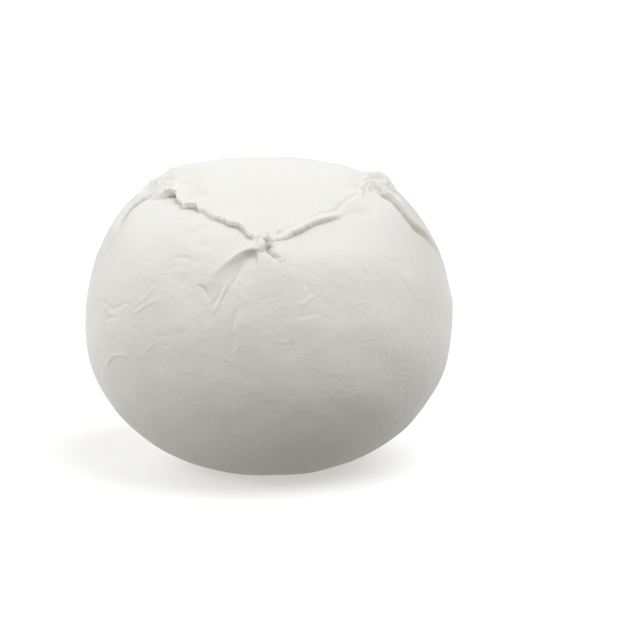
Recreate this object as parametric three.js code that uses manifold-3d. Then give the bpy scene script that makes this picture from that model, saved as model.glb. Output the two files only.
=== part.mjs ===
// A ball of fresh mozzarella, about 250 g, in millimetres, +Z up, its front towards -Y. It lies on a small
// flat spot, with the origin at the middle of that spot. It is one piece of cheese. A hood of skin covers
// the top, the sides and the back, and ends at the front in a torn edge: a brow from each upper corner down
// to a pinched knot, and a lip down each side. The smooth belly shows under it, with a fold below the knot.

import * as THREE from "three";
import { ConvexHull } from "three/addons/math/ConvexHull.js";
import { mergeVertices } from "three/addons/utils/BufferGeometryUtils.js";
import Module from "manifold-3d";

const wasm = await Module();
wasm.setup();

// ---- The smooth body, measured from its centre ----

const HALF_WIDTH = 41;
const HALF_DEPTH = 40;
const REACH_ABOVE = 41; // of the round form, before the lid flattens it
const REACH_BELOW = 35;
const SQUARENESS_ABOVE = 1.95; // 2 is an ellipsoid, more is boxier
const SQUARENESS_BELOW = 2.12;
const CENTRE_HEIGHT = 33.5; // above the table
const SAG_DEPTH = 34.4; // the ball has settled to about this far below its centre
const SAG_SHARPNESS = 30;

// The lid is a shallow dome that leans forward.
const LID_DOME_RADIUS = 87;
const LID_TILT = 9; // degrees
const LID_CROWN = new THREE.Vector3(0, -3.5, 33);
const LID_SHARPNESS = 34; // of the shoulder between lid and sides

// Slow unevenness of the whole body.
const SWELL_HEIGHT = 0.3;
const SWELL_LENGTH = 34;

// ---- The mesh: its points lie in rows along the seams and on ever finer spheres elsewhere ----

const SPHERE_DETAILS = [14, 29, 59]; // each halves the spacing of the one before
const COARSE_SPACING = 2.8;
const SPACING_GROWTH = 0.3; // for each millimetre away from a seam's outer row
const SEAM_STEP = 0.3;
const ROW_CLEARANCE = 0.55; // of a seam's grain, between its points and those of other seams
const FILL_CLEARANCE = 0.8; // of the spacing wanted at a place

// ---- Seams: places on the body as [longitude, latitude] in degrees ----
// Longitude 0 is the front and grows towards +X. A seam's left, seen from outside as it runs, is its
// positive side. The hood is always on the left of its torn edge.

const LEFT_FLANK = [[-80, 9], [-78, 16], [-76, 22], [-75, 29], [-77, 35], [-82, 39], [-86, 43], [-89, 47]];
const LEFT_BROW = [
  [-88, 49], [-81, 51], [-75, 52.5], [-66, 53], [-61, 51.5], [-52, 50], [-47, 48.3],
  [-40, 50], [-34, 49], [-29, 47], [-21, 44], [-14, 41], [-6, 38], [-2, 37],
];
const RIGHT_BROW = [[0, 36.5], [6, 37], [12, 41], [18, 43], [27, 45], [36, 46], [44, 46.5]];
const RIGHT_LID_EDGE = [[0, 38], [8, 42], [17, 45], [28, 49], [37, 50], [47, 53], [62, 55], [74, 55]];
const RIGHT_FLANK = [
  [87, 49], [79, 46.5], [75, 44], [71, 40], [70, 35], [72, 32], [77, 28], [79, 22], [82, 10],
];
const FRONT_FOLD = [[-20, 12], [-18.5, 17], [-16.5, 23], [-13.5, 26.5], [-9.5, 31], [-7, 33], [-3.5, 35]];
const FOLD_CREASE = [[-17, 13], [-15, 18], [-13, 23], [-10, 27], [-7, 31], [-3.5, 32.5]];
const BRANCH_CREASE = [[-24.5, 21.3], [-22, 20], [-19.5, 17.5]];
const LEFT_PLEAT = [[-92, 50], [-108, 46], [-122, 38], [-130, 28]];
const RIGHT_PLEAT = [[92, 51], [112, 47], [128, 39], [138, 27]];
const BACK_PLEAT = [[-112, 50], [-140, 49], [-172, 47], [158, 48], [124, 50]];

const KNOT = [-1.6, 36.6];
const PIT = [0.3, 34];
const LEFT_CORNER = [-92, 51];
const RIGHT_CORNER = [92, 52];

const cubic = (x) => x * x * (3 - 2 * x);
const ramp = (from, to, x) => cubic(Math.min(Math.max((x - from) / (to - from), 0), 1));
const bell = (x) => Math.exp(-x * x);

// An uneven wave between -1 and 1.
function waver(x) {
  return (Math.sin(x) + Math.sin(2.3 * x + 1.7) + Math.sin(4.1 * x + 4.2)) / 3;
}

function directionTo([longitude, latitude]) {
  const lon = THREE.MathUtils.degToRad(longitude);
  const lat = THREE.MathUtils.degToRad(latitude);
  return new THREE.Vector3(Math.sin(lon) * Math.cos(lat), -Math.cos(lon) * Math.cos(lat), Math.sin(lat));
}

// ---- The smooth body ----

function softLess(a, b, sharpness) {
  return (a ** -sharpness + b ** -sharpness) ** (-1 / sharpness);
}

function bellyRadius(d) {
  const reach = d.z < 0 ? REACH_BELOW : REACH_ABOVE;
  const squareness = d.z < 0 ? SQUARENESS_BELOW : SQUARENESS_ABOVE;
  const across = Math.hypot(d.x / HALF_WIDTH, d.y / HALF_DEPTH);
  return (across ** squareness + Math.abs(d.z / reach) ** squareness) ** (-1 / squareness);
}

function lidRadius(d) {
  const tilt = THREE.MathUtils.degToRad(LID_TILT);
  const facing = new THREE.Vector3(0, -Math.sin(tilt), Math.cos(tilt));
  const middle = LID_CROWN.clone().addScaledVector(facing, -LID_DOME_RADIUS);
  const along = d.dot(middle);
  return along + Math.sqrt(along * along - middle.lengthSq() + LID_DOME_RADIUS ** 2);
}

function swell(d) {
  const { x, y, z } = d.clone().multiplyScalar((2 * Math.PI * HALF_WIDTH) / SWELL_LENGTH);
  const waves = waver(x + 0.7 * z) + waver(y - 0.6 * x + 2) + waver(z + 0.5 * y + 5);
  return (SWELL_HEIGHT * waves) / 2;
}

// The point of the smooth body in a direction from its centre.
function onBody(d) {
  let radius = softLess(bellyRadius(d), lidRadius(d), LID_SHARPNESS);
  if (d.z < 0) radius = softLess(radius, SAG_DEPTH / -d.z, SAG_SHARPNESS);
  return d.clone().multiplyScalar(radius);
}

// ---- Relief along the seams ----

// The torn edge of a skin: it thickens up to the edge, drops over it, and the cheese is drawn in below.
function tornEdge({ lip, lipReach, hollow, hollowReach, edge }) {
  const height = (across) => {
    const skin = lip * Math.exp(-Math.max(across, 0) / lipReach);
    const under = -hollow * Math.exp(Math.min(across, 0) / hollowReach);
    return under + (skin - under) * ramp(-edge, edge, across);
  };
  return { height, rows: [-edge - 1.4, -edge, edge, edge + 1.4] };
}

function crease({ depth, width }) {
  return { height: (across) => -depth * bell(across / width), rows: [-1.5 * width, 0, 1.5 * width] };
}

function ridge({ height, width }) {
  return { height: (across) => height * bell(across / width), rows: [-1.2 * width, 0, 1.2 * width] };
}

// A seam through its places: samples every SEAM_STEP with the way along it and the way to its left.
// grain is the mesh's spacing along it, fadeIn and fadeOut are the lengths over which its relief comes and
// goes, wander is how far it strays to either side, and beat how uneven its strength is.
function seam({ places, ...traits }) {
  const curve = new THREE.CatmullRomCurve3(places.map((place) => onBody(directionTo(place))));
  const count = Math.ceil(curve.getLength() / SEAM_STEP);
  const points = curve.getSpacedPoints(count).map((point) => onBody(point.normalize()));
  const samples = points.map((point, i) => {
    const along = points[Math.min(i + 1, count)].clone().sub(points[Math.max(i - 1, 0)]).normalize();
    const left = point.clone().normalize().cross(along).normalize();
    return { point, along, left };
  });
  return { ...traits, samples, length: count * SEAM_STEP };
}

const seams = [
  seam({
    places: LEFT_FLANK,
    section: tornEdge({ lip: 0.5, lipReach: 5, hollow: 0.7, hollowReach: 3, edge: 0.9 }),
    grain: 2, fadeIn: 26, fadeOut: 3, wander: 0.5, beat: 0.2,
  }),
  seam({
    places: LEFT_BROW,
    section: tornEdge({ lip: 0.8, lipReach: 3, hollow: 1.3, hollowReach: 1.8, edge: 0.45 }),
    grain: 0.9, fadeIn: 3, fadeOut: 1.5, wander: 0.3, beat: 0.35,
  }),
  seam({
    places: RIGHT_BROW,
    section: tornEdge({ lip: 0.9, lipReach: 1.4, hollow: 1, hollowReach: 1.6, edge: 0.5 }),
    grain: 0.9, fadeIn: 1, fadeOut: 9, wander: 0.2, beat: 0.15,
  }),
  seam({
    places: RIGHT_LID_EDGE,
    section: crease({ depth: 0.55, width: 0.8 }),
    grain: 0.9, fadeIn: 2, fadeOut: 6, wander: 0.3, beat: 0.3,
  }),
  seam({
    places: RIGHT_FLANK,
    section: tornEdge({ lip: 0.9, lipReach: 4, hollow: 1.1, hollowReach: 2, edge: 0.9 }),
    grain: 1.5, fadeIn: 4, fadeOut: 24, wander: 0.3, beat: 0.2,
  }),
  seam({
    places: FRONT_FOLD,
    section: tornEdge({ lip: 1.1, lipReach: 3.2, hollow: 0.6, hollowReach: 2, edge: 1.7 }),
    grain: 0.9, fadeIn: 12, fadeOut: 1, wander: 0.3, beat: 0.15,
  }),
  seam({
    places: FOLD_CREASE,
    section: crease({ depth: 0.45, width: 0.8 }),
    grain: 0.9, fadeIn: 6, fadeOut: 1, wander: 0.2, beat: 0.2,
  }),
  seam({
    places: BRANCH_CREASE,
    section: crease({ depth: 0.4, width: 0.8 }),
    grain: 0.9, fadeIn: 2, fadeOut: 3, wander: 0.2, beat: 0.2,
  }),
  seam({
    places: BACK_PLEAT,
    section: crease({ depth: 0.5, width: 1.6 }),
    grain: 2, fadeIn: 10, fadeOut: 10, wander: 0.8, beat: 0.3,
  }),
  ...[LEFT_PLEAT, RIGHT_PLEAT].map((places) =>
    seam({
      places,
      section: ridge({ height: 0.6, width: 2 }),
      grain: 2, fadeIn: 4, fadeOut: 14, wander: 0.5, beat: 0.2,
    }),
  ),
];

// The nearest sample of a seam, and where a point lies along and across it.
function placeOn({ samples, wander }, point) {
  let nearest = 0;
  let least = Infinity;
  samples.forEach((sample, i) => {
    const distance = sample.point.distanceToSquared(point);
    if (distance < least) {
      least = distance;
      nearest = i;
    }
  });
  const { point: on, along: ahead, left } = samples[nearest];
  const off = point.clone().sub(on);
  const along = nearest * SEAM_STEP + off.dot(ahead);
  return { distance: Math.sqrt(least), along, across: off.dot(left) + wander * waver(along * 1.3), left };
}

function seamRelief(line, point) {
  const { along, across } = placeOn(line, point);
  const fade = ramp(0, line.fadeIn, along) * ramp(0, line.fadeOut, line.length - along);
  const strength = fade * (1 + line.beat * waver(along * 1.9 + 1));
  return strength * line.section.height(across);
}

// ---- Lumps and pits, each about one place: crumpled skin at the corners, and the lid's full ends ----

const knobs = [
  { place: PIT, height: -0.9, width: 0.9 },
  { place: [47, 45.5], height: -0.35, width: 2.4 },
  { place: [81, 55], height: 0.7, width: 1.8 },
  { place: RIGHT_CORNER, height: 0.8, width: 2.4 },
  { place: [99, 48], height: 0.8, width: 1.8 },
  { place: [102, 52], height: 1.2, width: 2.2 },
  { place: [79, 47.5], height: -1.1, width: 1.2 },
  { place: [84, 53], height: -0.5, width: 1.1 },
  { place: [-83, 53.5], height: 0.6, width: 1.6 },
  { place: LEFT_CORNER, height: 0.7, width: 2.4 },
  { place: [-104, 56], height: 0.8, width: 3.5 },
  { place: [-110, 61], height: 1.4, width: 8 },
  { place: [102, 60], height: 1, width: 6 },
  { place: [-90, -18], height: 0.45, width: 18 },
].map(({ place, height, width }) => ({ point: onBody(directionTo(place)), height, width }));

function knobRelief({ point: middle, height, width }, point) {
  return height * bell(middle.distanceTo(point) / width);
}

// ---- The ball's surface ----

function surfacePoint(point) {
  const d = point.clone().normalize();
  let relief = swell(d);
  for (const line of seams) relief += seamRelief(line, point);
  for (const knob of knobs) relief += knobRelief(knob, point);
  return point.clone().addScaledVector(d, relief);
}

// How far apart the mesh's points lie at a place: close along seams and knobs, wider away from them.
function spacingAt(point) {
  const aboutSeams = seams.map((line) => {
    const { distance } = placeOn(line, point);
    return line.grain + SPACING_GROWTH * Math.max(distance - line.section.rows.at(-1), 0);
  });
  const aboutKnobs = knobs.map(({ point: middle, width }) => {
    return width / 2 + SPACING_GROWTH * Math.max(middle.distanceTo(point) - width, 0);
  });
  return Math.min(COARSE_SPACING, ...aboutSeams, ...aboutKnobs);
}

function rowPoints({ samples, section, grain, wander }) {
  const every = Math.round(grain / SEAM_STEP);
  return section.rows.flatMap((row) =>
    samples.flatMap(({ point, left }, i) => {
      if (i % every) return [];
      const across = row - wander * waver(i * SEAM_STEP * 1.3);
      return [onBody(point.clone().addScaledVector(left, across).normalize())];
    }),
  );
}

function spherePoints(detail) {
  const sphere = new THREE.IcosahedronGeometry(1, detail);
  sphere.deleteAttribute("normal");
  sphere.deleteAttribute("uv");
  const corners = mergeVertices(sphere, 1e-5).getAttribute("position");
  return Array.from({ length: corners.count }, (_, i) => {
    return onBody(new THREE.Vector3().fromBufferAttribute(corners, i).normalize());
  });
}

// Points are kept in turn, each only where none lies too close already. Seen from the centre, the convex
// hull of their directions joins them into well-shaped triangles.
function bodyMesh() {
  const kept = [];
  const keep = (point, spacing) => {
    if (kept.every((other) => other.distanceTo(point) > spacing)) kept.push(point);
  };
  for (const line of seams) {
    for (const point of rowPoints(line)) keep(point, ROW_CLEARANCE * line.grain);
  }
  for (const point of SPHERE_DETAILS.flatMap(spherePoints)) {
    keep(point, FILL_CLEARANCE * spacingAt(point));
  }
  const directions = kept.map((point) => point.clone().normalize());
  const number = new Map(directions.map((d, i) => [d, i]));
  const triangles = new ConvexHull().setFromPoints(directions).faces.map(({ edge }) => {
    return [edge, edge.next, edge.next.next].map((side) => number.get(side.head().point));
  });
  const geometry = new THREE.BufferGeometry().setFromPoints(kept.map(surfacePoint));
  geometry.setIndex(triangles.flat());
  return geometry.translate(0, 0, CENTRE_HEIGHT);
}

// ---- Joining ----

function solid(geometry) {
  const plain = geometry.clone();
  plain.deleteAttribute("normal");
  plain.deleteAttribute("uv");
  const merged = mergeVertices(plain, 1e-5);
  return new wasm.Manifold(
    new wasm.Mesh({
      numProp: 3,
      vertProperties: merged.getAttribute("position").array,
      triVerts: new Uint32Array(merged.index.array),
    }),
  );
}

function geometryOf(manifold) {
  const { vertProperties, triVerts } = manifold.getMesh();
  const geometry = new THREE.BufferGeometry();
  geometry.setAttribute("position", new THREE.BufferAttribute(new Float32Array(vertProperties), 3));
  geometry.setIndex(new THREE.BufferAttribute(new Uint32Array(triVerts), 1));
  geometry.computeVertexNormals();
  return geometry;
}

// A frame on the surface: x along the table to the right, y up the surface, z out of it.
function standOn(place) {
  const d = directionTo(place);
  const right = new THREE.Vector3(0, 0, 1).cross(d).normalize();
  const up = d.clone().cross(right);
  const frame = new THREE.Matrix4().makeBasis(right, up, d);
  const foot = onBody(d);
  return frame.setPosition(foot.x, foot.y, foot.z + CENTRE_HEIGHT);
}

// ---- The pinched knot and its tail ----

const KNOT_LUMPS = [
  { at: [0, 0.3, 0.5], size: [1.5, 1.3, 1.3] },
  { at: [1.7, -0.2, 0.3], size: [1.5, 0.9, 1] },
  { at: [-1.6, -1, 0.2], size: [1.5, 0.9, 1] },
];

function knotLump({ at, size }) {
  const lump = new THREE.IcosahedronGeometry(1, 2);
  return lump.scale(...size).translate(...at).applyMatrix4(standOn(KNOT));
}

const TAIL_OUTLINE = [[0.6, 0.4], [4.3, 0.9], [4.6, -0.4], [3.9, -4.6], [3.2, -4.7], [1.1, -2.4]];
const TAIL_THICKNESS = 1.1;
const TAIL_SUNK = 0.7; // how deep its back face lies in the belly

function tail() {
  const outline = new THREE.Shape(TAIL_OUTLINE.map(([x, y]) => new THREE.Vector2(x, y)));
  const flap = new THREE.ExtrudeGeometry(outline, {
    depth: TAIL_THICKNESS, bevelSize: 0.3, bevelThickness: 0.3, bevelSegments: 1,
  });
  return flap.translate(0, 0, -TAIL_SUNK).applyMatrix4(standOn(KNOT));
}

// ---- The flat spot that it lies on ----

function tableBlock() {
  const depth = 10;
  return new THREE.BoxGeometry(4 * HALF_WIDTH, 4 * HALF_WIDTH, depth).translate(0, 0, -depth / 2);
}

const cheese = new THREE.MeshStandardMaterial({ color: 0xf0eee6, roughness: 0.4, metalness: 0 });

function mozzarellaBall() {
  let ball = solid(bodyMesh());
  for (const lump of KNOT_LUMPS) ball = ball.add(solid(knotLump(lump)));
  ball = ball.add(solid(tail())).subtract(solid(tableBlock()));
  const mesh = new THREE.Mesh(geometryOf(ball), cheese);
  mesh.name = "mozzarella_ball";
  return mesh;
}

const mozzarella = new THREE.Group();
mozzarella.add(mozzarellaBall());

export default mozzarella;
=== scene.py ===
import math

import bpy
import numpy as np
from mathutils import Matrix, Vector, noise


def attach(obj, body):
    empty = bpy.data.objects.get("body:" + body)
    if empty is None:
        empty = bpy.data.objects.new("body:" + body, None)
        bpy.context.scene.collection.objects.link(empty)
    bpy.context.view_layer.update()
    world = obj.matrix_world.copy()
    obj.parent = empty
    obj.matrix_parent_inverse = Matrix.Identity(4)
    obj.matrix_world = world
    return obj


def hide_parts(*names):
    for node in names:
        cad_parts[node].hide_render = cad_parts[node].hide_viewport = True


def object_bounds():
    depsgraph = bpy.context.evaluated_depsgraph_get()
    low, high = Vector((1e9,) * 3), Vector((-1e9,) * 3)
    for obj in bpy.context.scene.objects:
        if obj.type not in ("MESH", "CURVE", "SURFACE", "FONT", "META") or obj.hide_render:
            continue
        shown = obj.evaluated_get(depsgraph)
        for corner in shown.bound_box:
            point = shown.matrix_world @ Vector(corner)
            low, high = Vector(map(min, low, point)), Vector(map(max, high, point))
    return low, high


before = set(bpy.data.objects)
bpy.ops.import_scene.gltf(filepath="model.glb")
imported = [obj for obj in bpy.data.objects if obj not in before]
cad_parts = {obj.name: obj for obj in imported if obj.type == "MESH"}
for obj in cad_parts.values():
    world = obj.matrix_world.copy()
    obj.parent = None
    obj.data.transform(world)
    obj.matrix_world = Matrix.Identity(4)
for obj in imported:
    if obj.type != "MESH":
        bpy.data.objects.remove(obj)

cad_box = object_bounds()

# ---- The ball ----
# One piece of spun curd of about 250 g, stretched and closed by hand while hot and then cooled in brine.
# It is solid and milky, a little flattened, with a shallow lid on top, and has settled on a flat spot.
# It starts as a fine sphere, and its form is worked out in millimetres from the body's centre.

MM = 0.001
HALF_WIDTH = 41
HALF_DEPTH = 40
REACH_ABOVE = 41  # of the round form, before the lid flattens it
REACH_BELOW = 35
SQUARENESS_ABOVE = 1.95  # 2 is an ellipsoid, more is boxier
SQUARENESS_BELOW = 2.12
SAG_DEPTH = 34.4  # the ball has settled to about this far below its centre
SAG_SHARPNESS = 30
LEAST_FALL = 0.05  # of a direction, so that the sag stays finite near the level of the centre
LID_DOME_RADIUS = 87
LID_TILT = 9  # degrees, leaning forward
LID_CROWN = np.array([0, -3.5, 33])
LID_SHARPNESS = 34  # of the shoulder between lid and sides
CENTRE = np.array([0, 0, 33.5])  # above the table


def smooth_step(start, end, x):
    t = np.clip((x - start) / (end - start), 0, 1)
    return t * t * (3 - 2 * t)


def bell(x):
    return np.exp(-x * x)


def unit(v):
    return v / np.linalg.norm(v, axis=-1, keepdims=True)


def toward(places):
    """Directions from the centre to [longitude, latitude] in degrees.
    Longitude 0 is the front and grows towards +X."""
    longitude, latitude = np.radians(np.asarray(places, float)).T
    level = np.cos(latitude)
    return np.stack([np.sin(longitude) * level, -np.cos(longitude) * level, np.sin(latitude)], -1)


def soft_less(a, b, sharpness):
    return (a**-sharpness + b**-sharpness) ** (-1 / sharpness)


def on_body(d):
    """The points of the smooth body in these directions from its centre."""
    x, y, z = np.moveaxis(d, -1, 0)
    reach = np.where(z < 0, REACH_BELOW, REACH_ABOVE)
    squareness = np.where(z < 0, SQUARENESS_BELOW, SQUARENESS_ABOVE)
    across = np.hypot(x / HALF_WIDTH, y / HALF_DEPTH)
    belly = (across**squareness + np.abs(z / reach) ** squareness) ** (-1 / squareness)
    tilt = math.radians(LID_TILT)
    middle = LID_CROWN - LID_DOME_RADIUS * np.array([0, -math.sin(tilt), math.cos(tilt)])
    along = d @ middle
    lid = along + np.sqrt(along**2 - middle @ middle + LID_DOME_RADIUS**2)
    radius = soft_less(belly, lid, LID_SHARPNESS)
    sag = SAG_DEPTH / np.maximum(-z, LEAST_FALL)
    radius = np.where(z < 0, soft_less(radius, sag, SAG_SHARPNESS), radius)
    return d * radius[..., None]


bpy.ops.object.select_all(action="DESELECT")
bpy.ops.mesh.primitive_ico_sphere_add(
    subdivisions=6, radius=HALF_WIDTH * MM, location=CENTRE * MM, calc_uvs=False
)
bpy.ops.object.transform_apply(location=True)
ball = bpy.context.object
ball.name = "mozzarella"

# What shapes the surface: each entry works out which points it lifts, how far, and how it moves them aside.
reliefs = []
# Painted shade in creases, pits and on faces under edges: (which points, how much). The reliefs add to it.
painted_shades = []
# How fine the mesh has to be: (middle points, spacing, width) in millimetres.
fine_places = []


# ---- The hood's torn edge ----
# The ball is closed by folding a hood of skin over it. The hood covers the top, sides and back, and ends at
# the front in a torn edge: a ragged brow on the left, a rolled one on the right and a lip down each side.
# The smooth belly comes out from under it. A crease bounds the lid above the right brow.

SEAM_STEP = 0.3
CURVE_STEPS = 40  # from one place of a seam to the next, before its points are spaced evenly
SEARCH_PARTS = 8  # the nearest point is looked for in parts, to save memory
WANDER_WAVES = (5, 0.37)  # length along a seam, and seed
BEAT_WAVES = (6, 2.59)
JAG_WAVES = (1.1, 9.13)
FINE_JAG_WAVES = (0.5, 4.71)
JAG_REACH = 2  # how far from a seam its jags die out
FINE_SHARE = 0.6  # of the finer waves beside the coarser ones


def smooth_line(places):
    """Points at equal steps along the smooth line through the places, on the body.
    Also how far along it each place lies."""
    stops = on_body(toward(places))
    stops = np.vstack([2 * stops[0] - stops[1], stops, 2 * stops[-1] - stops[-2]])
    t = np.linspace(0, 1, CURVE_STEPS, endpoint=False)[:, None]
    line = []
    for a, b, c, d in zip(stops, stops[1:], stops[2:], stops[3:]):
        first, middle, last = (np.sqrt(np.linalg.norm(q - p)) for p, q in ((a, b), (b, c), (c, d)))
        leave = c - b + middle * ((b - a) / first - (c - a) / (first + middle))
        arrive = c - b + middle * ((d - c) / last - (d - b) / (middle + last))
        bend = 3 * (c - b) - 2 * leave - arrive
        twist = 2 * (b - c) + leave + arrive
        line.append(b + leave * t + bend * t**2 + twist * t**3)
    line = np.vstack([*line, stops[-2:-1]])
    reached = np.append(0, np.cumsum(np.linalg.norm(np.diff(line, axis=0), axis=1)))
    count = math.ceil(reached[-1] / SEAM_STEP)
    even = np.linspace(0, reached[-1], count + 1)
    points = np.stack([np.interp(even, reached, line[:, i]) for i in range(3)], -1)
    return on_body(unit(points)), reached[::CURVE_STEPS]


def cloud(points, scale, seed):
    """Smooth random waves about scale millimetres across, between about -1 and 1."""
    return np.array([noise.noise(Vector(p)) for p in points / scale + seed])


class Seam:
    """A line over the body. Its left, seen from outside as it runs, is its positive side.
    Its relief comes and goes over fade_in and fade_out, strays to either side by wander, is uneven by beat
    and jagged by ragged. sizes holds how strong or how wide it is at each place. reach is how far off its
    relief is worked out. The mesh is cut to the spacing as far off as half the band, and to twice that as
    far off as the band."""

    def __init__(
        self, places, fade_in=2, fade_out=2, wander=0.2, beat=0.2, ragged=0, sizes=None,
        reach=9, spacing=0.38, band=3,
    ):
        self.points, self.stops = smooth_line(places)
        self.length = self.stops[-1]
        self.sizes = sizes or [1] * len(places)
        behind = np.vstack([self.points[:1], self.points[:-1]])
        ahead = np.vstack([self.points[1:], self.points[-1:]])
        self.ahead = unit(ahead - behind)
        self.left = unit(np.cross(unit(self.points), self.ahead))
        self.fade_in, self.fade_out = fade_in, fade_out
        self.wander, self.beat, self.ragged, self.reach = wander, beat, ragged, reach
        fine_places.append((self.points, spacing, band / 2))
        fine_places.append((self.points, 2 * spacing, band))

    def uneven(self, along, scale, seed):
        return cloud(np.stack([along, 0 * along, 0 * along], -1), scale, seed)

    def locate(self, seats):
        """Which seats lie within reach. For these, how far along and across they lie, the way left, and the
        seam's strength and size there."""
        near = np.zeros(len(seats), int)
        gap = np.full(len(seats), np.inf)
        for part in np.array_split(np.arange(len(seats)), SEARCH_PARTS):
            square = -2 * seats[part] @ self.points.T + (self.points**2).sum(1)
            near[part] = square.argmin(1)
            gap[part] = square.min(1) + (seats[part] ** 2).sum(1)
        which = np.flatnonzero(gap < self.reach**2)
        near = near[which]
        off = seats[which] - self.points[near]
        step = self.length / (len(self.points) - 1)
        along = near * step + (off * self.ahead[near]).sum(1)
        across = (off * self.left[near]).sum(1) + self.wander * self.uneven(along, *WANDER_WAVES)
        if self.ragged:
            jagged = self.uneven(along, *JAG_WAVES) + FINE_SHARE * self.uneven(along, *FINE_JAG_WAVES)
            across += self.ragged * jagged * np.exp(-np.abs(across) / JAG_REACH)
        fade = smooth_step(0, self.fade_in, along) * smooth_step(0, self.fade_out, self.length - along)
        strength = fade * (1 + 2 * self.beat * self.uneven(along, *BEAT_WAVES))
        size = np.interp(along, self.stops, self.sizes)
        return which, along, across, self.left[near], strength, size


FACE_SHARE = 0.6  # of the turn over a torn edge; the rest is its rounding
OVERHANG = 0.15  # how far the rounding stands out past the line
CALM_REACH = 1.2  # how far from a torn edge its unevenness dies out
RIM_FALL = 0.35
RIM_REACH = 2.5
TEAR_WAVES = (0.9, 3.9)  # length and seed
FINE_TEAR_WAVES = (0.45, 1.9)
TEAR_OUT = 0.2  # from the line to the middle of the torn band
TEAR_WIDTH = 0.9


def torn_edge(line, lip, lip_reach, hollow, hollow_reach, edge, rounding, lean, rim, torn):
    """The edge of a skin. It thickens up to the edge, turns over it with a small rounding, and falls to
    where the cheese is drawn in. The fall leans by lean degrees, the rim is turned up and the face torn."""
    tilt = math.radians(lean)
    brow = rounding - OVERHANG
    face_top = lip - rounding - rounding * math.sin(tilt)
    face_out = brow - rounding * math.cos(tilt)
    foot_out = face_out + math.tan(tilt) * (face_top + hollow)

    def relief(seats):
        which, along, across, left, strength, size = line.locate(seats)
        calm = np.exp(-np.maximum(np.abs(across) - edge, 0) / CALM_REACH)
        strength = strength * (calm * size + (1 - calm) * np.mean(line.sizes))
        turn = np.clip((across + edge) / (2 * edge), 0, 1)
        on_face = turn < FACE_SHARE
        up = np.clip(turn / FACE_SHARE, 0, 1)
        over = np.clip((turn - FACE_SHARE) / (1 - FACE_SHARE), 0, 1)
        angle = over * (math.pi / 2 + tilt) - tilt
        round_height = lip - rounding + rounding * np.sin(angle)
        round_place = brow - rounding * np.cos(angle)
        height = np.where(on_face, -hollow + (face_top + hollow) * up, round_height)
        place = np.where(on_face, foot_out + (face_out - foot_out) * up, round_place)
        shift = place - np.clip(across, -edge, edge)
        skin = lip * np.exp(-(across - edge) / lip_reach) - rim * (1 - bell((across - edge) / RIM_FALL))
        skin += rim * bell((across - edge) / RIM_REACH)
        height = np.where(across > edge, skin, height)
        height = np.where(across < -edge, -hollow * np.exp((across + edge) / hollow_reach), height)
        rough = cloud(seats[which], *TEAR_WAVES) + FINE_SHARE * cloud(seats[which], *FINE_TEAR_WAVES)
        height += torn * rough * bell((across + TEAR_OUT) / TEAR_WIDTH)
        return which, strength * height, (strength * shift * calm)[:, None] * left

    reliefs.append(relief)


LIPS_SPREAD = 1.6  # widths of the furrow


def crease(line, depth, width, lips=0):
    """A furrow, with a low lip along each side where lips are given. A negative depth makes it a ridge."""

    def relief(seats):
        which, along, across, left, strength, size = line.locate(seats)
        ridges = bell(across / width / LIPS_SPREAD) - bell(across / width)
        height = strength * size * (lips * ridges - depth * bell(across / width))
        return which, height, None

    reliefs.append(relief)


SHADE_FADE = 0.25  # how the painted shade lessens up the face: a lower power keeps it longer
SHADE_REACH = 0.3  # onto the belly


def rolled_edge(line, lip, lip_reach, hollow, hollow_reach, width=None, bulge=3, painted_shade=0):
    """The thick round edge of a skin. It stands up out of a hollow beside the belly and rounds over to its
    lip. The line's size is how wide the rounding is, or how strong it all is where the width is given."""

    def relief(seats):
        which, along, across, left, strength, size = line.locate(seats)
        wide = size if width is None else width
        force = strength if width is None else strength * size
        out = np.clip(across / wide, 0, 1)
        # Painted shade on the face that rises out of the hollow, and just onto the belly.
        shade_share = painted_shade * force * (1 - out) ** SHADE_FADE * bell(np.minimum(across, 0) / SHADE_REACH)
        painted_shades.append((which, shade_share))
        face = (lip + hollow) * (1 - (1 - out) ** bulge) - hollow
        skin = lip * np.exp(-np.maximum(across - wide, 0) / lip_reach)
        belly = -hollow * np.exp(np.minimum(across, 0) / hollow_reach)
        height = np.where(across > wide, skin, np.where(across > 0, face, belly))
        return which, force * height, None

    reliefs.append(relief)


LEFT_FLANK = [
    [-80.5, 12], [-78.5, 17.5], [-76.5, 22], [-75, 26.5], [-74, 31], [-75, 34.5], [-78, 37.5],
    [-80, 40], [-81, 43], [-82, 46], [-83, 48.5],
]
LEFT_BROW = [
    [-83, 47.5], [-79.5, 48], [-75, 48.5], [-71.5, 50.5], [-69.5, 52.5], [-66, 53.5], [-62, 53.5],
    [-58.5, 52], [-56, 51], [-52.5, 51], [-49, 49.5], [-46.5, 50], [-42, 51], [-38, 49.5], [-35.5, 49.5],
    [-32.5, 49], [-27.5, 47], [-24, 46.5], [-20.5, 45.5], [-15.5, 44], [-12.5, 43.5], [-10.5, 42.5],
    [-9, 41], [-6, 38.5], [-4, 37],
]
LEFT_BROW_SIZES = [
    0.3, 0.3, 0.4, 0.9, 1.6, 1.8, 1.6, 1.3,
    0.9, 0.9, 0.9, 1.1, 1.2, 0.9, 0.7,
    0.8, 0.9, 0.9, 0.9, 1.1, 1.2, 1.2,
    1.0, 0.9, 0.7,
]
RIGHT_BROW = [
    [-0.5, 36.5], [3, 36.5], [7, 37], [8.5, 37.5], [11, 39], [14, 40], [17.5, 41.5], [22, 43],
    [27.5, 44], [33.5, 44.5], [39.5, 45.5], [45, 46.5],
]
RIGHT_BROW_SIZES = [0.3, 0.35, 0.45, 0.7, 1, 1.1, 1.1, 1, 0.9, 0.8, 0.6, 0.5]
RIGHT_LID_EDGE = [
    [1.5, 39], [5, 40.5], [9, 42], [13, 43.5], [18, 45], [23.5, 47], [29, 48.5], [38, 49.5],
    [45.5, 52], [55, 53.5], [61.5, 54], [71, 54.5],
]
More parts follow.
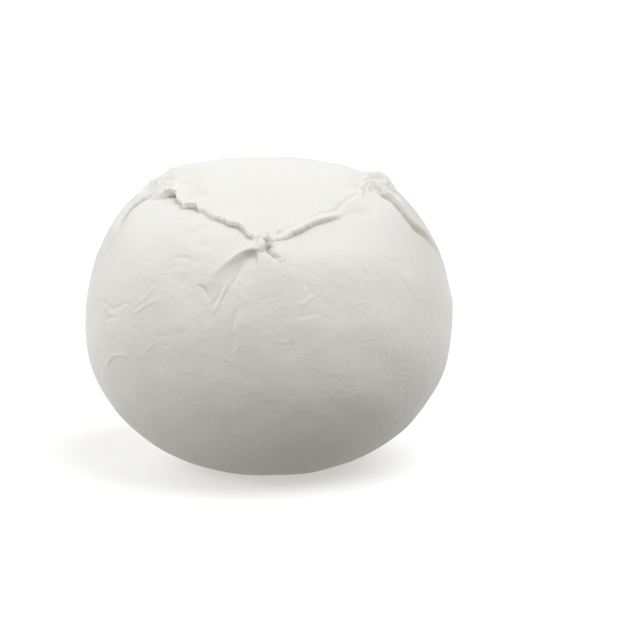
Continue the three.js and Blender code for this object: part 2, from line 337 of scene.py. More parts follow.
RIGHT_LID_EDGE_SIZES = [1.2, 1.2, 1, 0.8, 0.8, 0.8, 0.9, 1.2, 1.4, 1.3, 1.2, 1]
RIGHT_FLANK = [
    [86, 49.5], [81.5, 47.5], [77.5, 45], [76, 43.5], [73.5, 41], [71.5, 38.5], [70.5, 36], [71, 33.5],
    [74, 30.5], [77.5, 27.5], [81, 24], [84, 19], [87, 13],
]

rolled_edge(
    Seam(
        LEFT_FLANK, fade_in=18, fade_out=2, wander=0.4, beat=0.1, reach=16, spacing=0.3, band=5,
        sizes=[2.4, 2.4, 2.4, 2.4, 2.2, 1.8, 1.5, 1.3, 1.2, 1.2, 1.2],
    ),
    lip=0.6, lip_reach=6, hollow=0.3, hollow_reach=1.8, bulge=2,
)
rolled_edge(
    Seam(
        LEFT_FLANK[4:], fade_in=7, fade_out=4, wander=0.4, beat=0.2, ragged=0.3, reach=8, spacing=0.17,
        band=3, sizes=[0.5] * 7,
    ),
    lip=0.1, lip_reach=2, hollow=0.9, hollow_reach=0.3, bulge=1.3, painted_shade=0.8,
)
crease(
    Seam(LEFT_FLANK[4:], fade_in=7, fade_out=1, wander=0.4, ragged=0.3, reach=3, spacing=0.17, band=2),
    depth=0.5, width=0.5,
)
torn_edge(
    Seam(
        LEFT_BROW, fade_in=2, fade_out=0.8, wander=0, beat=0.1, ragged=0.3, sizes=LEFT_BROW_SIZES,
        reach=12, spacing=0.17, band=3.4,
    ),
    lip=1.0, lip_reach=3, hollow=0.8, hollow_reach=1.5,
    edge=0.8, rounding=0.25, lean=-14, rim=0.1, torn=0.28,
)
rolled_edge(
    Seam(
        RIGHT_BROW, fade_in=1, fade_out=8, wander=0.1, beat=0.2, ragged=0.15, sizes=RIGHT_BROW_SIZES,
        reach=8, spacing=0.17, band=3,
    ),
    lip=0.85, lip_reach=1.6, hollow=0.6, hollow_reach=1.2, width=1.0, painted_shade=0.3,
)
crease(
    Seam(
        RIGHT_LID_EDGE, fade_in=2, fade_out=6, wander=0.3, beat=0.3, ragged=0.1, sizes=RIGHT_LID_EDGE_SIZES,
        reach=4, spacing=0.17, band=2,
    ),
    depth=0.35, width=0.55, lips=0.1,
)
rolled_edge(
    Seam(
        RIGHT_FLANK, fade_in=2, fade_out=22, wander=0.2, beat=0.1, ragged=0.2, reach=16, spacing=0.3,
        band=5, sizes=[1.8, 1.8, 1.7, 1.6, 1.5] + [1.4] * 8,
    ),
    lip=0.55, lip_reach=5, hollow=1, hollow_reach=0.5, bulge=1.5, painted_shade=0.85,
)
crease(
    Seam(RIGHT_FLANK[1:9], fade_in=3, fade_out=6, wander=0.1, ragged=0.2, reach=3, spacing=0.17, band=2.4),
    depth=0.7, width=0.6,
)


# ---- The fold below the knot ----
# Where the skin is gathered into the knot, the belly is pulled up into a soft fold. It runs down to the
# left and dies out. A crease and a fine ridge run along its foot, with a second crease and a short branch.

FOLD_CREST = [
    [-21, 20.5], [-18.5, 23], [-17, 25.5], [-15, 27.5], [-13.5, 29], [-12, 30], [-10, 31.5],
    [-8, 32.5], [-6, 33], [-4, 33.5], [-2, 33.5],
]
FOLD_WIDTHS = [4.2, 4, 3.4, 3, 2.8, 2.5, 2.2, 1.6, 1.3, 1.1, 1]
FOLD_CREASE = [[-15, 15], [-14, 17], [-12.5, 20], [-11, 23], [-10, 25.5], [-9, 28], [-7.5, 30.5]]
FOLD_RIDGE = [[-17.5, 11.5], [-16, 14], [-14.5, 18], [-12.5, 23]]
SECOND_CREASE = [[-18.5, 13.5], [-16, 17], [-14.5, 20.5]]
BRANCH_CREASE = [[-24, 21], [-23, 21], [-21.5, 20.5], [-20, 19.5], [-19, 18], [-18, 16.5]]
CREST_ROUNDING = np.array([-0.3, -0.15, 0, 0.15, 0.3])  # the places that a crest is evened out over
SLOPE_HOLLOWNESS = 1.7  # 1 is straight, more is hollower
FOLD_SHADE_OUT = 1.2  # from the crest to the middle of the band of painted shade
FOLD_SHADE_WIDTH = 0.9
FOLD_SHADE_FROM = 6  # along the fold, where it begins and where it is full
FOLD_SHADE_FULL = 16


def fold(line, lip, lip_reach, rise, rise_reach, hollow, hollow_reach):
    """The skin rises to a crest. To the right of it, it drops and then slopes out to its foot, which lies as
    far off as the line's size."""
    top = lip + rise

    def relief(seats):
        which, along, across, left, strength, size = line.locate(seats)
        height = 0
        for shift in CREST_ROUNDING:
            over = across + shift
            up = np.maximum(over, 0)
            skin = lip * np.exp(-up / lip_reach) + rise * np.exp(-up / rise_reach)
            down = np.clip(-over / size, 0, 1)
            foot = hollow * bell(np.minimum(over + size, 0) / hollow_reach)
            slope = (top + hollow) * (1 - down) ** SLOPE_HOLLOWNESS - foot
            height = height + np.where(over > 0, skin, slope) / len(CREST_ROUNDING)
        # Painted shade on the slope below the crest, full towards the knot and fading out down to the left.
        shade_share = strength * bell((across + FOLD_SHADE_OUT) / FOLD_SHADE_WIDTH)
        painted_shades.append((which, shade_share * smooth_step(FOLD_SHADE_FROM, FOLD_SHADE_FULL, along)))
        return which, strength * height, None

    reliefs.append(relief)


fold(
    Seam(
        FOLD_CREST, fade_in=12, fade_out=2, wander=0.1, beat=0.05, reach=12, spacing=0.2, band=6,
        sizes=FOLD_WIDTHS,
    ),
    lip=0.9, lip_reach=0.9, rise=0.3, rise_reach=5, hollow=0.6, hollow_reach=2.5,
)
crease(
    Seam(FOLD_CREASE, fade_in=4, fade_out=8, wander=0.1, reach=3, spacing=0.17, band=1.8),
    depth=0.22, width=0.35,
)
crease(
    Seam(FOLD_RIDGE, fade_in=4, fade_out=3, wander=0.1, reach=3, spacing=0.17, band=1.6),
    depth=-0.2, width=0.3,
)
crease(
    Seam(SECOND_CREASE, fade_in=3, fade_out=3, wander=0.1, reach=3, spacing=0.17, band=1.6),
    depth=0.2, width=0.35,
)
crease(
    Seam(BRANCH_CREASE, fade_in=2, fade_out=2, wander=0.1, reach=3, spacing=0.17, band=1.6),
    depth=0.28, width=0.35,
)


# ---- The pleats behind ----
# Each upper corner runs on into a soft pleat round the back of the hood, with a shallow crease between them
# behind the lid, where the hood's skin was drawn together.

LEFT_PLEAT = [[-92, 50], [-108, 46], [-122, 38], [-130, 28]]
RIGHT_PLEAT = [[92, 51], [112, 47], [128, 39], [138, 27]]
BACK_PLEAT = [[-112, 50], [-140, 49], [-172, 47], [158, 48], [124, 50]]

for places in LEFT_PLEAT, RIGHT_PLEAT:
    crease(Seam(places, fade_in=4, fade_out=14, wander=0.5, reach=8, spacing=0.76), depth=-0.6, width=2)
crease(Seam(BACK_PLEAT, fade_in=10, fade_out=10, wander=0.8, beat=0.3, reach=6), depth=0.5, width=1.6)


# ---- The crumpled corners ----
# At the two upper corners the hood's skin was pinched and has crumpled: lumps, pits and short sharp
# wrinkles. Beside them the lid's ends are a little fuller.

LEFT_CORNER = [-92, 51]
RIGHT_CORNER = [92, 52]
LUMPS = [  # place, height, width, how much painted shade. A pit has a negative height
    # Beside the knot.
    ([0.5, 34.2], -1.4, 1.0, 0.9),
    # At the right corner, and in the skin beside it.
    ([81, 55], 0.5, 1.8, 0),
    (RIGHT_CORNER, 0.8, 2.4, 0),
    ([99, 48], 0.8, 1.8, 0),
    ([102, 52], 1.2, 2.2, 0),
    ([79.5, 46.5], -1.5, 1.6, 1),
    ([85, 50.5], -0.9, 1.2, 0.6),
    ([71, 54], -0.3, 1.1, 0.3),
    ([50, 46], -0.3, 2.5, 0.2),
    ([94, 50], 0.5, 0.7, 0),
    ([96, 46.5], 0.5, 0.8, 0),
    ([96, 55], 0.4, 0.8, 0),
    # At the left corner.
    ([-83, 53.5], 0.6, 1.6, 0),
    (LEFT_CORNER, 0.7, 2.4, 0),
    # The lid's ends, and the fullness of the left side.
    ([-104, 56], 0.8, 3.5, 0),
    ([-110, 61], 1.4, 8, 0),
    ([102, 60], 1, 6, 0),
    ([-90, -18], 0.45, 18, 0),
]
LUMP_STEPS = 5  # of the mesh in a lump's width
LUMP_REACH = 3  # widths


def lump(place, height, width, painted_shade):
    """A round rise or pit."""
    middle = on_body(toward([place]))
    fine_places.append((middle, width / LUMP_STEPS, width))

    def relief(seats):
        gap = np.linalg.norm(seats - middle, axis=1)
        which = np.flatnonzero(gap < LUMP_REACH * width)
        rise = bell(gap[which] / width)
        # Painted shade, as much as given, strongest in the middle of the lump or pit.
        painted_shades.append((which, painted_shade * rise))
        return which, height * rise, None

    reliefs.append(relief)


for place, height, width, painted_shade in LUMPS:
    lump(place, height, width, painted_shade)

CRUMPLE_SPACING = 0.19  # of the mesh
CRUMPLE_BAND = 0.9  # widths, where the mesh is that fine
CRUMPLE_REACH = 2.2  # widths
CRUMPLE_BEND = 0.5  # how far the ridges stray
BEND_SEED = 7.7
RIDGE_SEED = 3.3
FINE_RIDGE_SEED = 5.1
FINE_RIDGE_SCALE = 0.45  # beside the coarser ridges, as their height is
FINE_RIDGE_HEIGHT = 0.4
CRUMPLE_SINK = 0.8  # so that only the ridges stand above the skin
CRUMPLE_SHADE = 0.4  # between the ridges


def crumple(place, height, width, scale):
    """Skin crumpled about a place into sharp little ridges."""
    middle = on_body(toward([place]))
    fine_places.append((middle, CRUMPLE_SPACING, width * CRUMPLE_BAND))

    def relief(seats):
        gap = np.linalg.norm(seats - middle, axis=1)
        which = np.flatnonzero(gap < CRUMPLE_REACH * width)
        bent = seats[which] + CRUMPLE_BEND * cloud(seats[which], 2 * scale, BEND_SEED)[:, None]
        ridges = 1 - 2 * np.abs(cloud(bent, scale, RIDGE_SEED))
        finer = 1 - 2 * np.abs(cloud(bent, FINE_RIDGE_SCALE * scale, FINE_RIDGE_SEED))
        share = bell(gap[which] / width)
        # Painted shade in the low places between the ridges.
        painted_shades.append((which, CRUMPLE_SHADE * np.clip(1 - ridges, 0, 1) * share))
        return which, height * (ridges + FINE_RIDGE_HEIGHT * finer - CRUMPLE_SINK) * share, None

    reliefs.append(relief)


crumple(RIGHT_CORNER, 0.4, 4.5, 3)
crumple([84, 53], 0.4, 4, 1.3)
crumple(LEFT_CORNER, 0.35, 4.5, 2.6)
crumple([-82, 50.5], 0.4, 3.5, 1.2)

CORNER_RIDGES = [  # places, height, width
    ([[62, 52], [64.5, 52.8], [73, 55], [84, 55.6]], 0.6, 0.4),
    ([[84, 57], [92, 54.5], [97, 52]], 0.5, 0.4),
    ([[73, 53], [79, 53.5], [85, 52.5]], 0.4, 0.35),
    ([[76, 50.5], [81, 50.5], [86, 50]], 0.35, 0.35),
    ([[90, 50], [94, 49], [98, 47]], 0.4, 0.4),
    ([[-84, 43], [-90, 46], [-96, 48], [-98, 51]], 0.35, 0.4),
    ([[-82, 50.5], [-89, 51.5], [-95, 51]], 0.3, 0.35),
    ([[-78, 53.5], [-86, 53.5], [-93, 54]], 0.25, 0.35),
    ([[-72, 55.5], [-79, 56], [-86, 57]], 0.15, 0.35),
]
for places, height, width in CORNER_RIDGES:
    line = Seam(
        places, fade_in=1.5, fade_out=1.5, wander=0.3, beat=0.4, ragged=0.15,
        reach=2, spacing=0.17, band=1.2,
    )
    crease(line, -height, width)


# ---- The knot and its tail ----
# The hood's two brows were pinched together by hand at the front. The pinch left three small lumps, and a
# torn tail of skin, three-cornered and with a rolled rim, that hangs to the right below them.

KNOT = [-2.8, 35.5]
KNOT_LUMPS = [  # place and size, right and up over the skin and out of it
    ([0.4, -0.2, 0], [0.95, 2.0, 1.15]),
    ([0.9, 1.3, 0.3], [0.8, 0.75, 0.9]),
    ([-0.6, -1.1, 0], [1.1, 0.8, 0.8]),
]
TAIL = [  # right and up from the knot
    [1.9, -1.3], [4.5, -4.1], [5.1, -3.9], [5.4, -2], [4.8, -0.4], [3, -0.2],
]
TAIL_LEFT = [[-0.5, 33.5], [1, 32.5], [2.5, 31], [4, 30], [5.5, 29.5]]
TAIL_TOP = [[2, 35], [3.5, 35], [5, 34]]
TAIL_THICKNESS = 0.75
TAIL_OVERHANG = 0.3  # past its outline
TAIL_ROUNDING = 0.9  # how far in its edge is round
TAIL_TIP = 6.6  # the tail thins towards here, over the last stretch, to its least share
TAIL_THINNING = 4
TAIL_THINNEST = 0.45
KNOT_REACH = 8
KNOT_BEND = 0.25  # how far the outlines of the lumps and the tail stray
RIGHT_BEND_WAVES = (1.5, 6.1)  # length and seed
UP_BEND_WAVES = (1.5, 2.3)
KNOT_GRAIN = 0.12
KNOT_GRAIN_WAVES = (0.8, 8.5)
KNOT_GRAIN_REACH = 2.5
LUMP_BLEND = 0.4
KNOT_MESH = (0.1, 2.4)  # spacing, and how far out it is kept
TAIL_MESH = (0.12, 3.4)
TAIL_MIDDLE = [3.7, -1.6]

knot_out = toward([KNOT])[0]
knot_right = unit(np.cross([0, 0, 1], knot_out))
knot_up = np.cross(knot_out, knot_right)
knot_foot = on_body(knot_out)
tail_middle = knot_foot + TAIL_MIDDLE[0] * knot_right + TAIL_MIDDLE[1] * knot_up
fine_places.append((knot_foot[None], *KNOT_MESH))
fine_places.append((tail_middle[None], *TAIL_MESH))

crease(
    Seam(TAIL_LEFT, fade_in=1, fade_out=1.5, wander=0.1, beat=0.1, reach=2, spacing=0.12, band=1.2),
    depth=0.5, width=0.45,
)
crease(
    Seam(TAIL_TOP, fade_in=1, fade_out=1, wander=0.1, reach=2, spacing=0.12, band=1),
    depth=0.35, width=0.35, lips=0.1,
)


def soft_greater(a, b, blend):
    h = np.clip(0.5 + (a - b) / (2 * blend), 0, 1)
    return b + (a - b) * h + blend * h * (1 - h)


NEVER_ZERO = 1e-9  # keeps a level edge from dividing by nothing


def depth_inside(outline, x, y):
    """How far inside the outline each point is, or minus how far outside."""
    gap = np.full(len(x), np.inf)
    inside = np.zeros(len(x), bool)
    for (ax, ay), (bx, by) in zip(outline, outline[1:] + outline[:1]):
        run, rise = bx - ax, by - ay
        t = np.clip(((x - ax) * run + (y - ay) * rise) / (run**2 + rise**2), 0, 1)
        gap = np.minimum(gap, np.hypot(x - ax - t * run, y - ay - t * rise))
        crosses = (ay > y) != (by > y)
        inside ^= crosses & (x < ax + (y - ay) * run / (rise + NEVER_ZERO))
    return np.where(inside, gap, -gap)


def knot_relief(seats, lift):
    """The lift of the surface once the tail and the lumps lie on it."""
    off = seats - knot_foot
    which = np.flatnonzero((off**2).sum(1) < KNOT_REACH**2)
    near = seats[which]
    x, y, z = off[which] @ knot_right, off[which] @ knot_up, off[which] @ knot_out
    x_bent = x + KNOT_BEND * cloud(near, *RIGHT_BEND_WAVES)
    y_bent = y + KNOT_BEND * cloud(near, *UP_BEND_WAVES)
    inward = np.clip((depth_inside(TAIL, x_bent, y_bent) + TAIL_OVERHANG) / TAIL_ROUNDING, 0, 1)
    slope = np.clip((TAIL_TIP - x) / TAIL_THINNING, TAIL_THINNEST, 1)
    lifted = lift[which] + TAIL_THICKNESS * slope * np.sqrt(inward * (2 - inward))
    grain = KNOT_GRAIN * cloud(near, *KNOT_GRAIN_WAVES) * bell(np.hypot(x, y) / KNOT_GRAIN_REACH)
    level = lifted + z + grain
    for at, size in KNOT_LUMPS:
        square = ((x_bent - at[0]) / size[0]) ** 2 + ((y_bent - at[1]) / size[1]) ** 2
        top = at[2] + size[2] * np.sqrt(np.clip(1 - square, 0, 1))
        level = np.where(square < 1, soft_greater(level, top, LUMP_BLEND), level)
    return which, level - z


# ---- The skin ----
# Hot curd sets with a faintly uneven skin: slow swells, soft mottling, fine wrinkles where it was stretched
# towards the knot, and short nicks and threads where fingers and brine have marked it.

SWELL_HEIGHT = 0.3
SWELL_LENGTH = 34


def waver(x):
    """A slow uneven wave, up to 2/3 either way."""
    return (np.sin(x) + np.sin(2.3 * x + 1.7)) / 3


def swell(d):
    """The slow unevenness of the whole body."""
    x, y, z = np.moveaxis(d * (2 * math.pi * HALF_WIDTH / SWELL_LENGTH), -1, 0)
    return SWELL_HEIGHT * (waver(x + 0.7 * z) + waver(y - 0.6 * x + 2) + waver(z + 0.5 * y + 5)) / 2


WRINKLES = [  # places, depth, width. A negative depth makes a fine ridge
    # In the left panel, drawn towards the knot.
    ([[-58, 42], [-56, 45], [-51, 48]], 0.12, 0.7),
    ([[-35, 35.5], [-31, 38.5], [-28, 40.5], [-23, 42.5]], 0.2, 0.8),
    ([[-28, 33], [-25, 34], [-19, 33]], 0.2, 0.8),
    ([[-35, 28.5], [-29, 29], [-25, 28], [-21, 28.5]], 0.15, 0.6),
    ([[-35.5, 26], [-31, 26.5]], 0.12, 0.5),
    ([[-32, 22], [-29, 21.5], [-24, 22]], 0.08, 0.8),
    ([[-36.5, 39.5], [-34, 41.5], [-31, 42.5]], -0.08, 0.7),
    ([[-33.5, 30], [-26, 30.5]], -0.08, 0.6),
    ([[-34, 24.5], [-29, 24.5], [-26, 26]], -0.08, 0.6),
    # At the left of the belly.
    ([[-69.5, 5.5], [-69, 8], [-66, 10], [-62, 10.5], [-56, 9.5], [-50, 12], [-47, 11.5]], 0.12, 0.35),
    ([[-60, 8], [-54, 7.5]], -0.12, 0.35),
    ([[-61, 5], [-57, 6.5], [-53, 6.5]], 0.15, 0.4),
    ([[-47, 8.5], [-40.5, 13], [-36, 16]], -0.1, 0.35),
    ([[-46, 11.5], [-42, 15], [-38, 20.5]], -0.08, 0.35),
    ([[-46, 4], [-44, 5], [-42, 4.5]], 0.12, 0.6),
    ([[-37, 4], [-30, 5], [-23, 8]], 0.06, 0.6),
    ([[-40, -1.5], [-38, 0.5], [-36, 1.5]], -0.12, 0.35),
    ([[-35, 0.5], [-30, 2.5]], 0.1, 0.5),
    ([[-62, -9.5], [-59, -8], [-56, -5.5], [-52, -4], [-46, -3.5]], -0.14, 0.35),
    ([[-68, 0.5], [-65, -3], [-61.5, -7]], 0.1, 0.35),
    # In the middle and at the right of the belly.
    ([[-9, 16], [-10.5, 9], [-10, 4], [-11.5, 0]], 0.14, 0.7),
    ([[-14, 2], [-12, -1.5], [-9, -2]], -0.08, 0.5),
    ([[-6, 28], [-9.5, 23.5], [-9.5, 20.5], [-6.5, 17.5], [-4.5, 18]], -0.1, 0.5),
    ([[-4, 17], [0, 17.5], [5, 18.5]], 0.06, 0.4),
    ([[7, 28], [9, 23]], -0.07, 0.35),
    ([[13, 24.5], [14, 18.5]], 0.1, 0.35),
    ([[9, 16], [12.5, 16], [14, 17.5], [16.5, 17.5]], -0.12, 0.45),
    ([[7.5, 11.5], [14, 12.5], [18, 13]], 0.1, 0.6),
    ([[3, 5], [7.5, 4]], -0.07, 0.35),
    ([[-5, 6.5], [-6, 2]], -0.06, 0.35),
    ([[33.5, 28.5], [36, 22], [35.5, 16.5]], -0.07, 0.4),
    ([[46.5, 23], [49.5, 18.5], [52.5, 13]], 0.08, 0.35),
    ([[45, 29], [46, 26], [54, 24]], 0.06, 0.35),
    ([[33, 11], [31, 4]], -0.07, 0.35),
    # A dent beyond the right brow's end.
    ([[40, 47.5], [46.5, 46], [55, 45]], 0.35, 1.4),
    # On the lid.
    ([[62, 70], [43, 61.5], [33, 53]], 0.06, 0.6),
    ([[68, 65], [52.5, 59], [41, 53]], -0.07, 0.6),
    ([[30, 65.5], [22, 60.5], [15, 57]], -0.05, 0.6),
    ([[-20, 68], [-17, 60], [-10, 54]], 0.04, 0.7),
]
THREADS = 36  # short marks scattered over the sides and the back
THREAD_SEED = 7
THREAD_LONGITUDES = (70, 285)
THREAD_HEIGHTS = (-0.5, 0.95)  # as sines of their latitudes, so that they lie evenly over the ball
THREAD_BENDS = (-0.5, 0.5)  # radians, from one place to the next
THREAD_PLACES = 4
THREAD_STEPS = (1.5, 4)  # degrees between its places
THREAD_DEPTHS = (0.05, 0.12)
THREAD_WIDTH = 0.4

threads = []
rng = np.random.default_rng(THREAD_SEED)
for _ in range(THREADS):
    longitude = rng.uniform(*THREAD_LONGITUDES)
    latitude = math.degrees(math.asin(rng.uniform(*THREAD_HEIGHTS)))
    heading = rng.uniform(0, math.pi)
    bend = rng.uniform(*THREAD_BENDS)
    steps = np.arange(THREAD_PLACES) * rng.uniform(*THREAD_STEPS)
    widen = 1 / math.cos(math.radians(latitude))
    places = []
    for k, step in enumerate(steps):
        turned = heading + bend * k
        places.append([longitude + widen * step * math.cos(turned), latitude + step * math.sin(turned)])
    threads.append((places, rng.choice([-1, 1]) * rng.uniform(*THREAD_DEPTHS), THREAD_WIDTH))

for marks, spacing in (WRINKLES, 0.25), (threads, 0.3):
    for places, depth, width in marks:
        crease(Seam(places, beat=0.4, reach=2.5, spacing=spacing, band=1.2), depth, width)

LEFT_PANEL = [-32, 34]
PANEL_SIZE = [17, 17, 9]
PANEL_REACH = 2  # sizes
STRETCH_SQUEEZE = 0.14  # draws the waves out sideways
STRETCH_RISE = 0.25  # towards the right
STRETCH_HEIGHT = 0.08
STRETCH_WAVES = (1.1, 11.0)  # length and seed
MOTTLES = [(0.1, 9, 1.3), (0.07, 3.8, 4.9), (0.025, 1.8, 6.2)]  # height, length and seed


def stretch_marks(seats):
    """Fine wrinkles in the left panel, drawn out sideways towards the knot."""
    middle = on_body(toward([LEFT_PANEL]))[0]
    gap = (seats - middle) / PANEL_SIZE
    which = np.flatnonzero((gap**2).sum(1) < PANEL_REACH**2)
    x, y, z = seats[which].T
    drawn_out = np.stack([x * STRETCH_SQUEEZE, y * STRETCH_SQUEEZE, z + STRETCH_RISE * x], -1)
    share = bell(np.sqrt((gap[which] ** 2).sum(1)))
    return which, STRETCH_HEIGHT * cloud(drawn_out, *STRETCH_WAVES) * share, None


def mottle(seats):
    height = sum(rise * cloud(seats, length, seed) for rise, length, seed in MOTTLES)
    return np.arange(len(seats)), height, None


reliefs += [stretch_marks, mottle]


# ---- Shaping the ball ----
# The mesh is cut finer where the relief is fine, and then every point is lifted and moved into place.

SKIN_SPACING = 0.85
UNDERSIDE = -22  # below here nothing shows but the belly's turn to the table
UNDERSIDE_SPACING = 1.6
SUBDIVISIONS = 4
SPLIT_FROM = 1.4  # times the wanted spacing, where a triangle is cut
SEARCH_MARGIN = 1
ASIDE_CALMED = 0.5  # how thick the knot is where nothing beneath it moves aside


def points_of(mesh):
    co = np.empty(len(mesh.vertices) * 3)
    mesh.vertices.foreach_get("co", co)
    return co.reshape(-1, 3)


def wanted_spacing(places):
    wanted = np.where(places[:, 2] < UNDERSIDE, UNDERSIDE_SPACING, SKIN_SPACING)
    for middles, spacing, width in fine_places:
        close = np.linalg.norm(places - middles.mean(0), axis=1)
        extent = np.linalg.norm(middles - middles.mean(0), axis=1).max()
        which = np.flatnonzero(close < extent + width + SEARCH_MARGIN)
        near = places[which]
        square = (near**2).sum(1)[:, None] - 2 * near @ middles.T + (middles**2).sum(1)
        gap = np.sqrt(np.maximum(square.min(1), 0))
        wanted[which] = np.minimum(wanted[which], np.where(gap < width, spacing, np.inf))
    return wanted


mesh = ball.data
bpy.context.tool_settings.mesh_select_mode = (False, False, True)
for _ in range(SUBDIVISIONS):
    seats = on_body(unit(points_of(mesh) / MM - CENTRE))
    mesh.vertices.foreach_set("co", ((seats + CENTRE) * MM).ravel())
    corners = np.empty(len(mesh.loops), int)
    mesh.loops.foreach_get("vertex_index", corners)
    triangles = corners.reshape(-1, 3)
    edge = np.linalg.norm(seats[triangles[:, 0]] - seats[triangles[:, 1]], axis=1)
    coarse = edge > SPLIT_FROM * wanted_spacing(seats[triangles].mean(1))
    mesh.polygons.foreach_set("select", coarse)
    bpy.ops.object.mode_set(mode="EDIT")
    bpy.ops.mesh.subdivide(number_cuts=1, ngon=False)
    bpy.ops.mesh.select_all(action="SELECT")
    bpy.ops.mesh.quads_convert_to_tris()
    bpy.ops.mesh.select_all(action="DESELECT")
    bpy.ops.object.mode_set(mode="OBJECT")
    mesh = ball.data

seats = on_body(unit(points_of(mesh) / MM - CENTRE))
out = unit(seats)
lift = swell(out)
aside = np.zeros_like(seats)
for relief in reliefs:
    which, height, shift = relief(seats)
    lift[which] += height
    if shift is not None:
        aside[which] += shift
which, knotted = knot_relief(seats, lift)
calm = smooth_step(0, 1, np.abs(knotted - lift[which]) / ASIDE_CALMED)[:, None]
aside[which] *= 1 - calm
lift[which] = knotted
shaped = seats + out * lift[:, None] + aside + CENTRE
shaped[:, 2] = np.maximum(shaped[:, 2], 0)
mesh.vertices.foreach_set("co", (shaped * MM).ravel())
mesh.update()
print("ball:", len(mesh.polygons), "faces")

# How far each point lies below the skin around it: creases and pits, which get painted shade. The places
# that the reliefs marked for painted shade are added.
EVENING_ROUNDS = 120  # how widely the skin around a point is averaged
SHADE_FROM = 0.12  # below the skin around it
SHADE_OVER = 0.7

ends =np.empty(2 * len(mesh.edges), int)
mesh.edges.foreach_get("vertices", ends)
start, end = ends.reshape(-1, 2).T
ties = np.bincount(ends, minlength=len(lift))
around = lift.copy()
for _ in range(EVENING_ROUNDS):
    pull = np.bincount(start, around[end], len(lift)) + np.bincount(end, around[start], len(lift))
    around = 0.5 * around + 0.5 * pull / ties
crease_shade = np.clip((around - lift - SHADE_FROM) / SHADE_OVER, 0, 1)
for which, amount in painted_shades:
    crease_shade[which] = np.maximum(crease_shade[which], amount)
# The painted shade goes to the shader as the mesh's 'hollow' attribute.
hollow = mesh.attributes.new("hollow", "FLOAT", "POINT")
hollow.data.foreach_set("value", crease_shade)
bpy.ops.object.shade_smooth()


# ---- The cheese ----
# Spun curd is white with a breath of cream. Creases, pits and the faces under its edges are painted darker
# and creamier as painted shade. Light goes about half a millimetre into it, so its edges and creases look
# soft.
# Its skin is moist and satiny, finely grained.


class Value:
    """A number that a material's nodes work out. Arithmetic on it adds Math nodes."""

    def __init__(self, shading, socket):
        self.shading = shading
        self.socket = socket

    def math(self, operation, a, b):
        return self.shading.add("ShaderNodeMath", {"operation": operation}, {0: a, 1: b})

    def __add__(self, other):
        return self.math("ADD", self, other)

    def __mul__(self, other):
        return self.math("MULTIPLY", self, other)

    def __sub__(self, other):
        return self.math("SUBTRACT", self, other)

    def __rsub__(self, other):
        return self.math("SUBTRACT", other, self)

    __radd__ = __add__
    __rmul__ = __mul__


class Shading:
    """A material and its nodes."""

    def __init__(self, name):
        self.material = bpy.data.materials.new(name)
        self.material.use_nodes = True
        self.tree = self.material.node_tree
        self.tree.nodes.clear()

    def add(self, kind, settings, inputs, output=0):
        node = self.tree.nodes.new(kind)
        for name, setting in settings.items():
            setattr(node, name, setting)
        for name, value in inputs.items():
            if isinstance(value, Value):
                self.tree.links.new(value.socket, node.inputs[name])
            else:
                node.inputs[name].default_value = value
        return Value(self, node.outputs[output])

    def finish(self, shader):
        output = self.tree.nodes.new("ShaderNodeOutputMaterial")
        self.tree.links.new(shader.socket, output.inputs["Surface"])
        return self.material


MILK = (0.885, 0.884, 0.869, 1)
# The colour that creases, pits and under-edge faces are painted towards as shade; random patches lean a
# little to it.
SHADE_AND_PATCH_CREAM = (0.63, 0.598, 0.525, 1)
PATCHES_PER_METRE = 160.0
GRAINS_PER_METRE = 900.0
STREAKS_PER_METRE = (150, 900, 900)  # drawn out sideways
PATCH_TINT = 0.1
SHEEN_ROUGHNESS = 0.42
GRAIN_ROUGHNESS = 0.2
GRAIN_DEPTH = 0.0003

cheese = Shading("fresh_mozzarella")
place = cheese.add("ShaderNodeTexCoord", {}, {}, "Object")
hollow_shade = cheese.add("ShaderNodeAttribute", {"attribute_name": "hollow"}, {}, "Fac")
patches = cheese.add(
    "ShaderNodeTexNoise", {}, {"Vector": place, "Scale": PATCHES_PER_METRE, "Detail": 3.0}
)
grain = cheese.add(
    "ShaderNodeTexNoise",
    {},
    {"Vector": place, "Scale": GRAINS_PER_METRE, "Detail": 4.0, "Roughness": 0.6},
)
stretched = cheese.add(
    "ShaderNodeVectorMath", {"operation": "MULTIPLY"}, {0: place, 1: STREAKS_PER_METRE}
)
streaks = cheese.add("ShaderNodeTexNoise", {}, {"Vector": stretched, "Scale": 1.0, "Detail": 3.0})
# How far towards the cream: painted shade from the hollow attribute, plus random patches of tone.
shade_and_patches = hollow_shade + (patches - 0.5) * PATCH_TINT
shaded_patched_milk = cheese.add(
    "ShaderNodeMix", {"data_type": "RGBA", "clamp_factor": True}, {0: shade_and_patches, 6: MILK, 7: SHADE_AND_PATCH_CREAM}, 2
)
uneven = grain + streaks * 0.5 + patches * 2
bump = cheese.add("ShaderNodeBump", {}, {"Strength": 0.48, "Distance": GRAIN_DEPTH, "Height": uneven})
skin = cheese.add(
    "ShaderNodeBsdfPrincipled",
    {"subsurface_method": "RANDOM_WALK"},
    {
        "Base Color": shaded_patched_milk,
        "Roughness": SHEEN_ROUGHNESS + (grain - 0.5) * GRAIN_ROUGHNESS,
        "Specular IOR Level": 0.4,
        "Subsurface Weight": 0.8,
        "Subsurface Radius": (1.0, 0.97, 0.93),
        "Subsurface Scale": 0.0005,
        "Normal": bump,
    },
)
mesh.materials.clear()
mesh.materials.append(cheese.finish(skin))

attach(ball, "root")
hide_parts("mozzarella_ball")


# ---- The table ----
# A plain, white, matt table top, far wider than the view. It glows a little, as one that is lit from below
# does, so that it stays white around the ball's soft shadow.

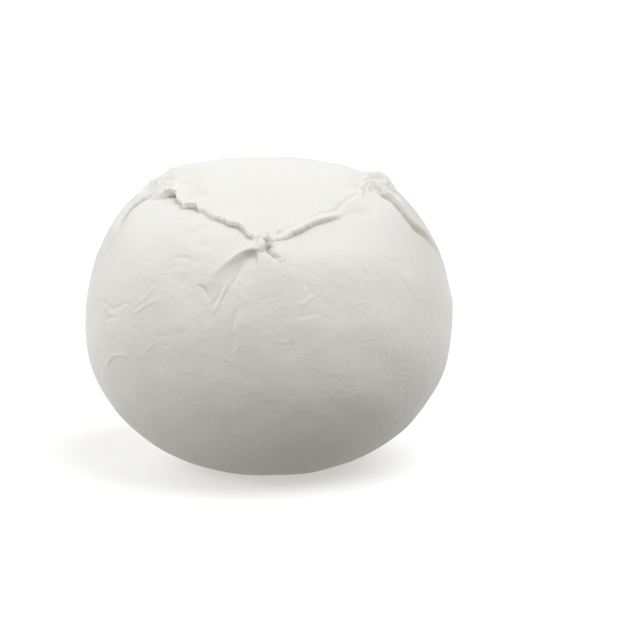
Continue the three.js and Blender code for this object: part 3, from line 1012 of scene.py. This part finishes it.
TABLE_HALF = 30
TABLE_GAP = 0.0001  # under the ball, so that the two don't share a surface
bpy.ops.object.select_all(action="DESELECT")
bpy.ops.mesh.primitive_plane_add(size=2 * TABLE_HALF, location=(0, 0, cad_box[0].z - TABLE_GAP))
table = bpy.context.object
table.name = "table_top"
paint = Shading("pale_table")
table_place = paint.add("ShaderNodeTexCoord", {}, {}, "Object")
speckle = paint.add("ShaderNodeTexNoise", {}, {"Vector": table_place, "Scale": 400.0, "Detail": 3.0})
matt = paint.add(
    "ShaderNodeBsdfPrincipled",
    {},
    {
        "Base Color": (0.9, 0.9, 0.9, 1),
        "Roughness": 0.75 + (speckle - 0.5) * 0.1,
        "Specular IOR Level": 0.2,
        "Emission Color": (1, 1, 1, 1),
        "Emission Strength": 0.36,
    },
)
table.data.materials.append(paint.finish(matt))


# ---- The light ----
# Wide soft lamps stand far off all round: the main one high at the right, the others low in front, at both
# sides and behind. A pale warm room fills the shade. The table top throws no light back up at the ball.

ROOM_COLOR = (1, 0.965, 0.88, 1)
ROOM_STRENGTH = 0.22


def lamp(name, azimuth, elevation, spread, strength, color):
    """A far soft lamp. Its azimuth runs from the front towards +X, and spread is how wide it looks, all in
    degrees."""
    turn, rise = math.radians(azimuth), math.radians(elevation)
    level = math.cos(rise)
    way = Vector((math.sin(turn) * level, -math.cos(turn) * level, math.sin(rise)))
    bpy.ops.object.light_add(type="SUN", location=way, rotation=way.to_track_quat("Z", "Y").to_euler())
    light = bpy.context.object
    light.name = name
    light.data.angle = math.radians(spread)
    light.data.energy = strength
    light.data.color = color


lamp("overhead_lamp", 58, 60, 50, 1.45, (0.99, 1, 1))
lamp("front_lamp", 315, 25, 40, 1.05, (1, 0.985, 0.94))
lamp("right_lamp", 92, 25, 40, 0.66, (1, 0.98, 0.92))
lamp("left_lamp", 247, 25, 60, 1.0, (0.98, 1, 1.02))
lamp("back_lamp", 180, 25, 40, 0.35, (1, 1, 1))
table.visible_diffuse = False

room = bpy.data.worlds.new("pale_room")
room.use_nodes = True
room.node_tree.nodes["Background"].inputs["Color"].default_value = ROOM_COLOR
room.node_tree.nodes["Background"].inputs["Strength"].default_value = ROOM_STRENGTH
bpy.context.scene.world = room


# ---- The camera ----
# It looks along +Y and down by 12 degrees, and frames the ball a little left of the middle.

ELEVATION = math.radians(12)
DISTANCE = 0.62
AIM_RIGHT = 0.0091  # of the ball's centre
AIM_UP = 0.0016
LENS = 160.7
SENSOR_WIDTH = 36

back = Vector((0, -math.cos(ELEVATION), math.sin(ELEVATION)))
up = Vector((0, math.sin(ELEVATION), math.cos(ELEVATION)))
aim = Vector(CENTRE * MM) + Vector((AIM_RIGHT, 0, 0)) + up * AIM_UP
bpy.ops.object.camera_add(location=aim + back * DISTANCE, rotation=(math.radians(90) - ELEVATION, 0, 0))
camera = bpy.context.object
camera.data.lens = LENS
camera.data.sensor_width = SENSOR_WIDTH
bpy.context.scene.camera = camera
bpy.context.scene.view_settings.view_transform = "Standard"
